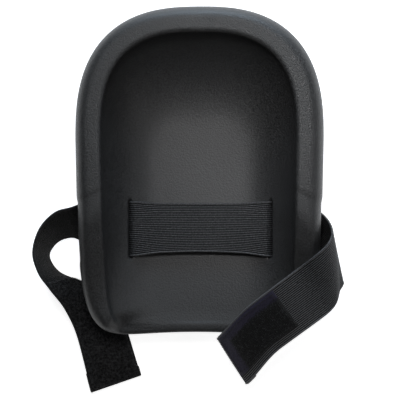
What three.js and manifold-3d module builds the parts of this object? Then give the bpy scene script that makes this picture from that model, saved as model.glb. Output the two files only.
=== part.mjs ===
// One moulded foam knee pad with its elastic strap, in millimetres.
//
// The pad lies on its kneeling face with the knee cup open upwards.
// +Z points out of the cup towards the knee, +Y towards the thigh, +X to the wearer's side that
// carries the hook tape. The origin is on the kneeling face, in the middle of the pad.
//
// The strap is one length of webbing. It is divided here wherever it bends as a joint, with a
// narrow gap at each division, so that every stretch can move with its own body.

import * as THREE from 'three';
import Module from 'manifold-3d';
import { mergeVertices } from 'three/addons/utils/BufferGeometryUtils.js';

const wasm = await Module();
wasm.setup();

// ---------------------------------------------------------------- driving dimensions

const CLEARANCE = 0.3;                 // gap between pieces that touch on the real object

const PAD = {
  halfWidth: 89.2,
  archY: 25,                           // where the straight sides turn into the top arch
  archRise: 94,                        // from archY up to the top of the pad
  lowerReach: 145,                     // from archY down to the bottom corners
  taper: 3.2,                          // how much narrower each side is at the bottom
  endNotch: 3.5,                       // the open end curves in by this much at its middle
  endNotchHalfWidth: 60,
  rimHeight: 62,
  cornerHeight: 44,                    // height of the rim where it ends, beside the open end
  endHeight: 32,                       // height of the open end, where there is no rim
  rimFall: [-120, -36],                // the side rims drop gently between these two stations
  openHalfWidth: [58, 71],             // the rim rises from the open end between these two widths
  widestAt: 0.74,                      // share of the height at which the wall is widest
};

const LIP = { halfWidth: 69.1, archRise: 73.9, lowerReach: 137, radius: 2.6, shoulder: 0.476, endShoulder: 0.2 };
const BASE = { halfWidth: 40, archRise: 50, lowerReach: 82 };

const FLOOR = { thickness: 18, acrossCurve: 0.0006, lowerCurve: 0.00071, upperCurve: 0.0003 };
const BOWL = { sideStart: 0.42, topStart: 0.12, footStart: 0.93 };

const CHANNEL = { low: -63.5, high: -21.5, edge: 3, depth: 0.8 };

const SLOT = {
  length: 43,
  width: 3.4,
  mouth: { x: 51.4, z: 27.5 },         // where it opens into the cup
  exit: { x: 64, z: 5 },               // where it leaves the outside wall
  reach: 70,
};

const STRAP = {
  width: 39,
  thickness: 1.5,
  centreY: -41,
  exitX: 69,                           // where the strap is clear of its slot, lying flat
  exitZ: 4.4,
  bridgeZ: 30,
  necking: 0.05,                       // the stretched webbing is this much narrower mid-span
};
const TAPE = { width: 36, hookSide: -13, thickness: 1.4 };   // the hook tape stops short of one edge
const HEM = { length: 11, overhang: 0.6 };
const THREAD = { inset: 2.2, width: 0.9, height: 0.5 };

// ---------------------------------------------------------------- small helpers

const clamp01 = (value) => Math.min(1, Math.max(0, value));
const mix = (a, b, t) => a + (b - a) * t;
const smooth = (edge0, edge1, value) => {
  const t = clamp01((value - edge0) / (edge1 - edge0));
  return t * t * (3 - 2 * t);
};

/** A geometry from plain vertices and triangles, with its faces turned to point outwards. */
function solidGeometry(points, triangles) {
  let volume = 0;
  const a = new THREE.Vector3();
  const b = new THREE.Vector3();
  const c = new THREE.Vector3();
  for (const [i, j, k] of triangles) {
    a.fromArray(points[i]);
    b.fromArray(points[j]);
    c.fromArray(points[k]);
    volume += a.dot(b.cross(c));
  }
  const outward = volume > 0 ? triangles : triangles.map(([i, j, k]) => [i, k, j]);
  const geometry = new THREE.BufferGeometry();
  geometry.setAttribute('position', new THREE.Float32BufferAttribute(points.flat(), 3));
  geometry.setIndex(outward.flat());
  return geometry;
}

/** The two triangles of one grid cell. */
const cell = (a, b, c, d) => [[a, b, c], [a, c, d]];

function toManifold(geometry) {
  const bare = geometry.clone();
  bare.deleteAttribute('normal');
  bare.deleteAttribute('uv');
  const merged = mergeVertices(bare, 1e-4);
  return new wasm.Manifold(new wasm.Mesh({
    numProp: 3,
    vertProperties: Float32Array.from(merged.attributes.position.array),
    triVerts: Uint32Array.from(merged.index.array),
  }));
}

function fromManifold(solid) {
  const mesh = solid.getMesh();
  const geometry = new THREE.BufferGeometry();
  geometry.setAttribute('position', new THREE.BufferAttribute(Float32Array.from(mesh.vertProperties), 3));
  geometry.setIndex(Array.from(mesh.triVerts));
  return geometry;
}

// ---------------------------------------------------------------- foam pad

/** A rounded outline about the pad's arch centre: an arch above it, a squarer foot below it. */
function outlinePoint(angle, shape, archPower, footPower) {
  const c = Math.cos(angle);
  const s = Math.sin(angle);
  const power = s >= 0 ? archPower : footPower;
  const reach = s >= 0 ? shape.archRise : shape.lowerReach;
  const radius = (Math.abs(c / shape.halfWidth) ** power + Math.abs(s / reach) ** power) ** (-1 / power);
  const below = clamp01(-radius * s / PAD.lowerReach);
  const x = radius * c * (1 - PAD.taper / PAD.halfWidth * below);
  const notch = PAD.endNotch * smooth(0.8, 1, below) * clamp01(1 - (x / PAD.endNotchHalfWidth) ** 2);
  return [x, PAD.archY + radius * s + notch];
}

/** How deep the strap's channel is pressed into the outside wall at this station. */
function channelDepth(y) {
  const above = smooth(CHANNEL.low - CHANNEL.edge, CHANNEL.low, y);
  const below = 1 - smooth(CHANNEL.high, CHANNEL.high + CHANNEL.edge, y);
  return CHANNEL.depth * above * below;
}

/** 1 at the open end, 0 where the rim has its full height for its station. */
function openShare([x, y]) {
  return (1 - smooth(...PAD.openHalfWidth, Math.abs(x))) * (1 - smooth(-100, -60, y));
}

/** The height of the rim above a point on the outline. */
function rimHeightAt(point) {
  const rim = mix(PAD.cornerHeight, PAD.rimHeight, smooth(...PAD.rimFall, point[1]));
  return mix(rim, PAD.endHeight, openShare(point));
}

function floorHeight(x, y) {
  const along = y - PAD.archY;
  const curve = along < 0 ? FLOOR.lowerCurve : FLOOR.upperCurve;
  return FLOOR.thickness + FLOOR.acrossCurve * x * x + curve * along * along;
}

/** The section of the pad at one angle, from the kneeling face out, over the rim and into the cup. */
function padSection(angle) {
  const outer = outlinePoint(angle, PAD, 2.6, 7);
  const base = outlinePoint(angle, BASE, 2.4, 3);
  const lip = outlinePoint(angle, LIP, 2.7, 11);
  const height = rimHeightAt(outer);
  const shoulder = mix(LIP.shoulder, LIP.endShoulder, openShare(outer));
  const widest = height * PAD.widestAt;
  const pressed = channelDepth(outer[1]) / Math.hypot(outer[0], outer[1] - PAD.archY);
  outer[0] *= 1 - pressed;
  outer[1] = mix(outer[1], PAD.archY, pressed);
  const section = [];

  section.push([base[0], base[1], 0]);
  for (let i = 1; i <= 6; i += 1) {
    const turn = (i / 6) * Math.PI / 2;
    const out = Math.sin(turn);
    section.push([mix(base[0], outer[0], out), mix(base[1], outer[1], out), widest * (1 - Math.cos(turn))]);
  }
  for (let i = 1; i <= 3; i += 1) {
    const turn = (i / 3) * Math.PI / 2;
    const inward = shoulder * (1 - Math.cos(turn));
    section.push([
      mix(outer[0], lip[0], inward),
      mix(outer[1], lip[1], inward),
      mix(widest, height, Math.sin(turn)),
    ]);
  }

  const rimWidth = Math.hypot(outer[0] - lip[0], outer[1] - lip[1]);
  const radius = Math.min(LIP.radius, (height - floorHeight(lip[0], lip[1])) / 2);
  const lipStart = 1 - radius / rimWidth;
  for (let i = 0; i <= 3; i += 1) {
    const turn = (i / 3) * Math.PI / 2;
    const inward = mix(lipStart, 1, Math.sin(turn));
    section.push([
      mix(outer[0], lip[0], inward),
      mix(outer[1], lip[1], inward),
      height - radius * (1 - Math.cos(turn)),
    ]);
  }

  const start = mix(BOWL.sideStart, BOWL.topStart, Math.max(0, Math.sin(angle)) ** 1.5);
  const inner = [lip[0] * start, mix(PAD.archY, lip[1], Math.sin(angle) < 0 ? BOWL.footStart : start)];
  for (const share of [0.86, 0.68, 0.46, 0.22, 0]) {
    const x = mix(inner[0], lip[0], share);
    const y = mix(inner[1], lip[1], share);
    const rise = 0.2 * share ** 3 + 0.8 * (1 - Math.sqrt(1 - share * share));
    section.push([x, y, mix(floorHeight(x, y), height - radius, rise)]);
  }
  for (const share of [0.67, 0.34]) {
    const x = inner[0] * share;
    const y = mix(PAD.archY, inner[1], share);
    section.push([x, y, floorHeight(x, y)]);
  }
  return section;
}

function padBlank() {
  const sections = 116;
  const points = [];
  const triangles = [];
  let rings = 0;
  for (let i = 0; i < sections; i += 1) {
    const section = padSection((i / sections) * 2 * Math.PI);
    rings = section.length;
    points.push(...section);
  }
  const under = points.push([0, PAD.archY, 0]) - 1;
  const top = points.push([0, PAD.archY, floorHeight(0, PAD.archY)]) - 1;
  for (let i = 0; i < sections; i += 1) {
    const here = i * rings;
    const next = ((i + 1) % sections) * rings;
    triangles.push([under, here, next]);
    for (let k = 0; k < rings - 1; k += 1) {
      triangles.push(...cell(here + k, here + k + 1, next + k + 1, next + k));
    }
    triangles.push([here + rings - 1, top, next + rings - 1]);
  }
  return solidGeometry(points, triangles);
}

/** The cutter for one strap slot, which slants outwards from the cup to the outside wall. */
function slotCutter(side) {
  const slant = Math.atan2(SLOT.exit.x - SLOT.mouth.x, SLOT.mouth.z - SLOT.exit.z);
  const cutter = new THREE.BoxGeometry(SLOT.width, SLOT.length, SLOT.reach);
  cutter.rotateY(-side * slant);
  cutter.translate(
    side * (SLOT.mouth.x + SLOT.exit.x) / 2,
    STRAP.centreY,
    (SLOT.mouth.z + SLOT.exit.z) / 2,
  );
  return toManifold(cutter);
}

function foamPad() {
  let solid = toManifold(padBlank());
  for (const side of [-1, 1]) {
    solid = solid.subtract(slotCutter(side));
  }
  return fromManifold(solid);
}

// ---------------------------------------------------------------- strap surfaces

// Each strap surface takes u, the distance along the webbing, and v, the distance across it
// from its middle (v is positive on the thigh side where the strap leaves the pad), and returns
// a point on the webbing's middle layer.

/** The stretch that crosses the cup and passes down through both slots. u runs to +X. */
function bridgeSurface() {
  const half = [
    [0, STRAP.bridgeZ], [43, STRAP.bridgeZ], [47.4, 29.9], [50.2, 28.7], [52.2, 25.2],
    [55.9, 19], [60, 12], [62.9, 7.2], [65.6, 4.9], [STRAP.exitX, STRAP.exitZ],
  ];
  const left = half.slice(1).reverse().map(([x, z]) => new THREE.Vector3(-x, 0, z));
  const right = half.map(([x, z]) => new THREE.Vector3(x, 0, z));
  const path = new THREE.CatmullRomCurve3([...left, ...right], false, 'centripetal');
  const length = path.getLength();
  const at = (u, v) => {
    const point = path.getPointAt(clamp01(u / length));
    const necked = 1 - STRAP.necking * clamp01(1 - (point.x / SLOT.mouth.x) ** 2);
    point.y = STRAP.centreY + v * necked;
    return point;
  };
  return { at, length };
}

/** The left tail: it leaves the slot flat, climbs the wall on its thigh-side edge, stands on its
 * other edge round a U-turn, and lies down again with its end on the ground. Each station is
 * [thigh-side edge, other edge]. */
function leftSurface() {
  const stations = [
    [[-69, -21, 4.4], [-69, -61, 4.4]],
    [[-80.5, -21.6, 12.6], [-81, -58, 3.4]],
    [[-92.3, -24.6, 34.6], [-93.7, -48.8, 4.4]],
    [[-105, -28.6, 38.2], [-104, -48.9, 5]],
    [[-115.6, -40, 41.6], [-111.6, -54, 5.8]],
    [[-120.4, -57, 43], [-115.2, -62.6, 6.2]],
    [[-117, -71.8, 41], [-107.8, -74.2, 5]],
    [[-109.4, -84, 34.6], [-91.6, -81.5, 3.8]],
    [[-101.5, -96.4, 25], [-73.5, -88.5, 3.7]],
    [[-96.2, -108.7, 18], [-63, -101, 3.7]],
    [[-91.1, -120.6, 14.4], [-57.6, -119.6, 3.8]],
    [[-84.8, -144.6, 10.6], [-51.4, -141.5, 3.9]],
    [[-81, -163.6, 7], [-47.9, -152.4, 3.9]],
  ];
  const pairs = stations.map(([one, other]) => [new THREE.Vector3(...one), new THREE.Vector3(...other)]);
  const middle = new THREE.CatmullRomCurve3(
    pairs.map(([one, other]) => one.clone().add(other).multiplyScalar(0.5)), false, 'centripetal');
  const across = new THREE.CatmullRomCurve3(
    pairs.map(([one, other]) => one.clone().sub(other).normalize()), false, 'catmullrom');
  const length = middle.getLength();
  const at = (u, v) => {
    const t = middle.getUtoTmapping(clamp01(u / length));
    return middle.getPoint(t).addScaledVector(across.getPoint(t).normalize(), v);
  };
  return { at, length };
}

// The right tail is wound over a loose cylinder whose rulings run along FOLD.ruling. A ribbon
// laid on it keeps its length and width. FOLD.skew is the angle between the strap's own
// direction and the winding direction. Past the fold its shin-side edge droops a little.
const FOLD = {
  skew: Math.asin(0.42),
  ruling: new THREE.Vector3(0.21, -0.9777, 0).normalize(),
  outward: new THREE.Vector3(0.9777, 0.21, 0).normalize(),
  base: new THREE.Vector3(STRAP.exitX, STRAP.centreY, 0),
  settle: 24,                          // length over which the strap turns on to the winding
  at: 50,                              // distance along the winding of the line it hinges on
  droop: 0.2,                          // slope across the strap once it is past the fold
  tuck: 4.4,                           // how far the shin-side edge is drawn in just past the fold
  sweep: 2,                            // how far that edge is turned aside at the very end
  sway: 3.2,                           // how far the whole end strays towards the shin side
  flare: 0.035,                        // how much wider the sewn end is than the rest
  section: [                           // [outward, up] along the winding
    [0, STRAP.exitZ], [9, 6.6], [16.8, 13.6], [22.5, 26], [25.2, 42], [24, 57], [17.6, 68.4],
    [7.6, 73.6], [-6, 73], [-20, 69.4], [-34, 64], [-48, 57], [-60, 48.5], [-72, 37], [-79, 28],
  ],
};

function rightSurface() {
  const section = new THREE.CatmullRomCurve3(
    FOLD.section.map(([out, up]) => new THREE.Vector3(out, 0, up)), false, 'centripetal');
  const wound = section.getLength();
  const cos = Math.cos(FOLD.skew);
  const sin = Math.sin(FOLD.skew);
  const onWinding = (u, v) => {
    const along = u * cos + v * sin;
    const here = section.getPointAt(clamp01(along / wound));
    if (along < 0) {
      here.x += along;
    }
    const point = FOLD.base.clone()
      .addScaledVector(FOLD.outward, here.x)
      .addScaledVector(FOLD.ruling, u * sin - v * cos);
    point.z = here.z;
    const straight = new THREE.Vector3(STRAP.exitX + u, STRAP.centreY + v, 0);
    const section0 = section.getPointAt(clamp01(u * cos / wound));
    straight.z = section0.z;
    return straight.lerp(point, smooth(0, FOLD.settle, u));
  };
  const at = (u, v) => {
    const inward = STRAP.width / 2 - v;
    const past = u * cos + v * sin - FOLD.at;
    const drooped = smooth(0, 34, past);
    const tucked = smooth(0, 12, past) - smooth(14, 40, past);
    const astray = (FOLD.sway + FOLD.flare * inward) * smooth(146, 190, u);
    const point = onWinding(u, v + 0.015 * inward * drooped - astray);
    point.z -= FOLD.droop * inward * drooped;
    point.addScaledVector(FOLD.outward, -FOLD.tuck * tucked * (inward / STRAP.width) ** 2);
    point.x += FOLD.sweep * smooth(150, 190, u) * inward / STRAP.width;
    return point;
  };
  return { at, length: 190 };
}

/** The unit normal of a strap surface, on the side that carries the tapes. */
function surfaceNormal(surface, u, v) {
  const step = 0.2;
  const along = surface.at(u + step, v).sub(surface.at(u - step, v));
  const across = surface.at(u, v + step).sub(surface.at(u, v - step));
  return across.cross(along).normalize();
}

const offPoint = (surface, u, v, n) => surface.at(u, v).addScaledVector(surfaceNormal(surface, u, v), n);

// ---------------------------------------------------------------- solids laid on the surfaces

/** A slab between two lines across the strap, start(v) and end(v), given as distances along. */
function slab(surface, { start, end, v, n, alongSteps, acrossSteps }) {
  const points = [];
  const index = (layer, i, j) => (layer * (alongSteps + 1) + i) * (acrossSteps + 1) + j;
  for (const height of n) {
    for (let i = 0; i <= alongSteps; i += 1) {
      for (let j = 0; j <= acrossSteps; j += 1) {
        const across = mix(v[0], v[1], j / acrossSteps);
        const along = mix(start(across), end(across), i / alongSteps);
        points.push(offPoint(surface, along, across, height).toArray());
      }
    }
  }
  const triangles = [];
  for (let i = 0; i < alongSteps; i += 1) {
    for (let j = 0; j < acrossSteps; j += 1) {
      triangles.push(...cell(index(0, i, j), index(0, i, j + 1), index(0, i + 1, j + 1), index(0, i + 1, j)));
      triangles.push(...cell(index(1, i, j), index(1, i + 1, j), index(1, i + 1, j + 1), index(1, i, j + 1)));
    }
    const last = acrossSteps;
    triangles.push(...cell(index(0, i, 0), index(0, i + 1, 0), index(1, i + 1, 0), index(1, i, 0)));
    triangles.push(...cell(index(0, i, last), index(1, i, last), index(1, i + 1, last), index(0, i + 1, last)));
  }
  for (let j = 0; j < acrossSteps; j += 1) {
    const last = alongSteps;
    triangles.push(...cell(index(0, 0, j), index(1, 0, j), index(1, 0, j + 1), index(0, 0, j + 1)));
    triangles.push(...cell(index(0, last, j), index(0, last, j + 1), index(1, last, j + 1), index(1, last, j)));
  }
  return solidGeometry(points, triangles);
}

/** A stretch of plain webbing. */
function webbing(surface, start, end, alongSteps, acrossSteps) {
  const half = STRAP.width / 2;
  return slab(surface, {
    start,
    end,
    v: [-half, half],
    n: [-STRAP.thickness / 2, STRAP.thickness / 2],
    alongSteps,
    acrossSteps,
  });
}

/** Hook or loop tape, laid on the tape side of the webbing. */
function tape(surface, from, to, side, alongSteps, acrossSteps) {
  const low = STRAP.thickness / 2 + CLEARANCE;
  return slab(surface, {
    start: () => from,
    end: () => to,
    v: [side, TAPE.width / 2],
    n: [low, low + TAPE.thickness],
    alongSteps,
    acrossSteps,
  });
}

/** The webbing's end, turned under and sewn flat against the side away from the tape. */
function turnedEnd(surface, end, acrossSteps) {
  const half = STRAP.width / 2 + HEM.overhang;
  const high = -STRAP.thickness / 2 - CLEARANCE;
  return slab(surface, {
    start: () => end - HEM.length,
    end: () => end,
    v: [-half, half],
    n: [high - STRAP.thickness, high],
    alongSteps: 3,
    acrossSteps,
  });
}

/** One closed run of thread round a tape, a little inside its edge. */
function threadLoop(surface, from, to, side, alongSteps, acrossSteps) {
  const low = STRAP.thickness / 2 + 2 * CLEARANCE + TAPE.thickness;
  const walk = (inset) => {
    const u0 = from + inset;
    const u1 = to - inset;
    const v0 = side + inset;
    const v1 = TAPE.width / 2 - inset;
    const loop = [];
    for (let i = 0; i < alongSteps; i += 1) loop.push([mix(u0, u1, i / alongSteps), v0]);
    for (let i = 0; i < acrossSteps; i += 1) loop.push([u1, mix(v0, v1, i / acrossSteps)]);
    for (let i = 0; i < alongSteps; i += 1) loop.push([mix(u1, u0, i / alongSteps), v1]);
    for (let i = 0; i < acrossSteps; i += 1) loop.push([u0, mix(v1, v0, i / acrossSteps)]);
    return loop;
  };
  const outside = walk(THREAD.inset);
  const inside = walk(THREAD.inset + THREAD.width);
  const count = outside.length;
  const lines = [
    outside.map(([u, v]) => offPoint(surface, u, v, low)),
    outside.map(([u, v]) => offPoint(surface, u, v, low + THREAD.height)),
    inside.map(([u, v]) => offPoint(surface, u, v, low + THREAD.height)),
    inside.map(([u, v]) => offPoint(surface, u, v, low)),
  ];
  const points = lines.flat().map((point) => point.toArray());
  const triangles = [];
  for (let i = 0; i < count; i += 1) {
    const next = (i + 1) % count;
    for (let line = 0; line < 4; line += 1) {
      const a = line * count;
      const b = ((line + 1) % 4) * count;
      triangles.push(...cell(a + i, a + next, b + next, b + i));
    }
  }
  return solidGeometry(points, triangles);
}

// ---------------------------------------------------------------- the assembly

const MATERIALS = {
  foam: new THREE.MeshStandardMaterial({ color: 0x1b1b1d, roughness: 0.62, metalness: 0 }),
  elastic: new THREE.MeshStandardMaterial({ color: 0x121214, roughness: 0.8, metalness: 0 }),
  loop: new THREE.MeshStandardMaterial({ color: 0x161618, roughness: 1, metalness: 0 }),
  hook: new THREE.MeshStandardMaterial({ color: 0x1a1820, roughness: 0.7, metalness: 0 }),
  thread: new THREE.MeshStandardMaterial({ color: 0x101012, roughness: 0.7, metalness: 0 }),
};

const part = new THREE.Group();

function addPiece(name, geometry, material) {
  const mesh = new THREE.Mesh(geometry, MATERIALS[material]);
  mesh.name = name;
  part.add(mesh);
}

addPiece('foam_pad', foamPad(), 'foam');

const bridge = bridgeSurface();
addPiece('strap_bridge', webbing(bridge, () => 0, () => bridge.length, 64, 1), 'elastic');

// left tail: the first stretch stays with the pad, the other two swing
const left = leftSurface();
const LEFT = { swingAt: 29, bendAt: 66, tapeStart: 93, tapeEnd: left.length - 1, end: left.length };
const leftStretch = (from, to, steps) => webbing(left, () => from, () => to, steps, 3);
addPiece('strap_left_exit', leftStretch(2 * CLEARANCE, LEFT.swingAt, 12), 'elastic');
addPiece('strap_left_lead', leftStretch(LEFT.swingAt + CLEARANCE, LEFT.bendAt, 12), 'elastic');
addPiece('strap_left_tail', leftStretch(LEFT.bendAt + CLEARANCE, LEFT.end, 32), 'elastic');
addPiece('loop_tape', tape(left, LEFT.tapeStart, LEFT.tapeEnd, -TAPE.width / 2, 26, 3), 'loop');
addPiece('loop_tape_stitching', threadLoop(left, LEFT.tapeStart, LEFT.tapeEnd, -TAPE.width / 2, 26, 6), 'thread');
addPiece('left_end_hem', turnedEnd(left, LEFT.end, 3), 'elastic');

// right tail: the lead is divided from the fold along the ruling of the winding, where it hinges
const right = rightSurface();
const RIGHT = { tipStart: 124, tapeStart: 127, tapeEnd: right.length - 1, end: right.length };
const foldLine = (offset) => (v) => (FOLD.at + offset - v * Math.sin(FOLD.skew)) / Math.cos(FOLD.skew);
addPiece('strap_right_lead', webbing(right, () => CLEARANCE, foldLine(0), 18, 4), 'elastic');
addPiece('strap_right_fold', webbing(right, foldLine(CLEARANCE), () => RIGHT.tipStart, 22, 4), 'elastic');
addPiece('strap_right_tip', webbing(right, () => RIGHT.tipStart + CLEARANCE, () => RIGHT.end, 14, 4), 'elastic');
addPiece('hook_tape', tape(right, RIGHT.tapeStart, RIGHT.tapeEnd, TAPE.hookSide, 14, 4), 'hook');
addPiece('hook_tape_stitching', threadLoop(right, RIGHT.tapeStart, RIGHT.tapeEnd, TAPE.hookSide, 16, 6), 'thread');
addPiece('right_end_hem', turnedEnd(right, RIGHT.end, 4), 'elastic');

export default part;
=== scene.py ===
"""The looks of a moulded foam knee pad with a ribbed elastic strap.

Shapes are worked out in millimetres, as in the CAD model, and scaled to metres when a mesh is
made. Every strap piece is laid on one of three surfaces, at(u, v): u is the distance along the
webbing and v the distance across it from its middle.
"""

import math
import random

import bpy
import numpy as np
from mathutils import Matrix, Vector, noise

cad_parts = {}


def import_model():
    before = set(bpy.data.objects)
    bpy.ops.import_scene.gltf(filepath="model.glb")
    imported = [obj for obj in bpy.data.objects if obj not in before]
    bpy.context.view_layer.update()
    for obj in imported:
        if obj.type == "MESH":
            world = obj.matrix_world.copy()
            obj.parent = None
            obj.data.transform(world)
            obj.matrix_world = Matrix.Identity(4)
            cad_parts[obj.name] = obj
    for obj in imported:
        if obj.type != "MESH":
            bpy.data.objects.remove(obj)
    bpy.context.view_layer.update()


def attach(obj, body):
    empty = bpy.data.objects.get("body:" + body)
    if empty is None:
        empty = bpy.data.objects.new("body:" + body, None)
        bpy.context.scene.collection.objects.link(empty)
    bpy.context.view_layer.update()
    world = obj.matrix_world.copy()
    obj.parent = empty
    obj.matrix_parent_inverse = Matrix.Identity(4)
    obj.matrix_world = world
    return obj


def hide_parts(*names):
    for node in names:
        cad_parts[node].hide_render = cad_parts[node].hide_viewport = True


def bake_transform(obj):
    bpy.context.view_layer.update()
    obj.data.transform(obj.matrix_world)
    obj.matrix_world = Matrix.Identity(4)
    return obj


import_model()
MM = 0.001

# ---------------------------------------------------------------- driving dimensions

# the pad's outlines, about a centre at y = ARCH_Y: its outside, the rim's lip and its flat base
PAD = dict(half_width=89.2, arch_rise=94, lower_reach=145)
LIP = dict(half_width=69.1, arch_rise=73.9, lower_reach=137)
BASE = dict(half_width=40, arch_rise=50, lower_reach=82)
PAD_POWERS, LIP_POWERS, BASE_POWERS = (2.6, 7), (2.7, 11), (2.4, 3)
ARCH_Y = 25
TAPER = 3.2
END_NOTCH, END_NOTCH_HALF_WIDTH = 3.5, 60

# the rim falls from its full height to the corners between two stations, and is lower still
# across the open shin end
RIM_HEIGHT, CORNER_HEIGHT, END_HEIGHT = 62, 44, 32
RIM_FALL = (-120, -36)
OPEN_FROM, OPEN_HALF_WIDTH = (-100, -60), (58, 71)
WIDEST_AT = 0.74
LIP_RADIUS, SHOULDER, END_SHOULDER = 2.6, 0.476, 0.2
FLOOR_THICKNESS, ACROSS_CURVE, LOWER_CURVE, UPPER_CURVE = 18, 0.0006, 0.00071, 0.0003
BOWL_SIDE, BOWL_TOP, BOWL_FOOT = 0.42, 0.12, 0.93

# the strap's channel down the outside wall, and the faint step it makes across the rim
CHANNEL_LOW, CHANNEL_HIGH, CHANNEL_EDGE, CHANNEL_DEPTH = -63.5, -21.5, 3, 0.8
CREASE, CREASE_EDGE = 0.5, 0.6

SLOT_MOUTH, SLOT_EXIT = (51.4, 27.5), (64, 5)
SLOT_LENGTH, SLOT_WIDTH, SLOT_REACH = 43, 3.4, 70

# the stretched webbing narrows in mid-span and spreads at its slots, and its shin-side edge bows
STRAP_WIDTH, STRAP_THICKNESS = 39, 1.5
STRAP_Y, EXIT_X, EXIT_Z, BRIDGE_Z = -41, 69, 4.4, 30
NECKING, BOW, SPREAD = 0.03, 2.2, 0.045
RIBS = 28
RIB_PITCH = (STRAP_WIDTH - 1) / RIBS
HEM_LENGTH = 11

# the loop tape spans both sides of the middle line; the hook tape stops short on one side
TAPE_HALF, HOOK_SIDE, TAPE_SETBACK = 18, -13, 1
HOOK_SELVEDGE, HOOK_END_SELVEDGE = 7.5, 11
HOOK_PITCH, HOOK_SPACING = 1.2, 1.15

# distances along the webbing from its slot: joints, tapes, end, and where its pieces are cut
LEFT_SWING, LEFT_BEND, LOOP_START = 29, 66, 93
FOLD_AT, TIP_START, HOOK_START, RIGHT_END = 50, 124, 127, 190
ROOT_END, BEND_PIECE, TAIL_PIECE = 14, 46, 90
FOLD_FROM, FOLD_TO, TIP_PIECE = 32, 76, 114

# the right tail winds at a skew, and settles onto that winding in its first stretch; past its
# fold it droops, splays and tucks in, and its end sways and sweeps aside
SKEW = math.asin(0.42)
SETTLE = 24
DROOP, DROOP_SPAN, SPLAY, TUCK, SWEEP, SWAY, FLARE = 0.2, 34, 0.015, 4.4, 2, 3.2, 0.035
TUCK_IN, TUCK_OUT = (0, 12), (14, 40)
SWAY_SPAN, SWEEP_SPAN = (146, 190), (150, 190)


def clamp01(value):
    return np.clip(value, 0.0, 1.0)


def mix(a, b, t):
    return a + (b - a) * t


def smooth(low, high, value):
    t = clamp01((value - low) / (high - low))
    return t * t * (3 - 2 * t)


# ---------------------------------------------------------------- meshes


def make_object(name, points_mm, faces, uv=None, smooth_angle=40):
    """A mesh object from points in millimetres. uv, if given, has one pair for each point."""
    mesh = bpy.data.meshes.new(name)
    mesh.from_pydata([tuple(p) for p in np.asarray(points_mm, float) * MM], [], faces)
    mesh.validate()
    if uv is not None:
        layer = mesh.uv_layers.new(name="strap")
        corner_vertex = np.empty(len(mesh.loops), dtype=np.int32)
        mesh.loops.foreach_get("vertex_index", corner_vertex)
        layer.data.foreach_set("uv", np.asarray(uv, np.float32)[corner_vertex].ravel())
    mesh.shade_smooth()
    mesh.set_sharp_from_angle(angle=math.radians(smooth_angle))
    obj = bpy.data.objects.new(name, mesh)
    bpy.context.scene.collection.objects.link(obj)
    return obj


def apply_modifiers(obj):
    """Bakes an object's modifiers into its own mesh."""
    bpy.context.view_layer.update()
    evaluated = obj.evaluated_get(bpy.context.evaluated_depsgraph_get())
    mesh = bpy.data.meshes.new_from_object(evaluated)
    obj.modifiers.clear()
    old, obj.data = obj.data, mesh
    mesh.name = obj.name
    bpy.data.meshes.remove(old)
    return obj


# ---------------------------------------------------------------- foam pad


def outline_point(angle, shape, powers):
    """A rounded outline about the arch centre: an arch above it, a squarer foot below it. The two
    powers are those of the arch and of the foot, and a higher one makes squarer corners."""
    c, s = math.cos(angle), math.sin(angle)
    power = powers[0] if s >= 0 else powers[1]
    reach = shape["arch_rise"] if s >= 0 else shape["lower_reach"]
    radius = (abs(c / shape["half_width"]) ** power + abs(s / reach) ** power) ** (-1 / power)
    below = clamp01(-radius * s / PAD["lower_reach"])
    x = radius * c * (1 - TAPER / PAD["half_width"] * below)
    notch = END_NOTCH * smooth(0.8, 1, below) * clamp01(1 - (x / END_NOTCH_HALF_WIDTH) ** 2)
    return np.array([x, ARCH_Y + radius * s + notch])


def open_share(x, y):
    """1 at the open end, 0 where the rim has its full height for its station."""
    return (1 - smooth(*OPEN_HALF_WIDTH, abs(x))) * (1 - smooth(*OPEN_FROM, y))


def rim_height(x, y):
    """The height of the rim above a point on the outline, with the faint step beside the slots."""
    rim = mix(CORNER_HEIGHT, RIM_HEIGHT, smooth(*RIM_FALL, y))
    above = smooth(CHANNEL_LOW - CREASE_EDGE, CHANNEL_LOW + CREASE_EDGE, y)
    below = 1 - smooth(CHANNEL_HIGH - CREASE_EDGE, CHANNEL_HIGH + CREASE_EDGE, y)
    return float(mix(rim, END_HEIGHT, open_share(x, y)) - CREASE * above * below)


def channel_depth(y):
    """The depth of the strap's shallow channel down the outside wall."""
    above = smooth(CHANNEL_LOW - CHANNEL_EDGE, CHANNEL_LOW, y)
    below = 1 - smooth(CHANNEL_HIGH, CHANNEL_HIGH + CHANNEL_EDGE, y)
    return CHANNEL_DEPTH * above * below


def floor_height(x, y):
    """The cup's floor: a shallow dish that curves up more towards the shin end."""
    along = y - ARCH_Y
    curve = np.where(along < 0, LOWER_CURVE, UPPER_CURVE)
    return FLOOR_THICKNESS + ACROSS_CURVE * x * x + curve * along * along


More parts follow.
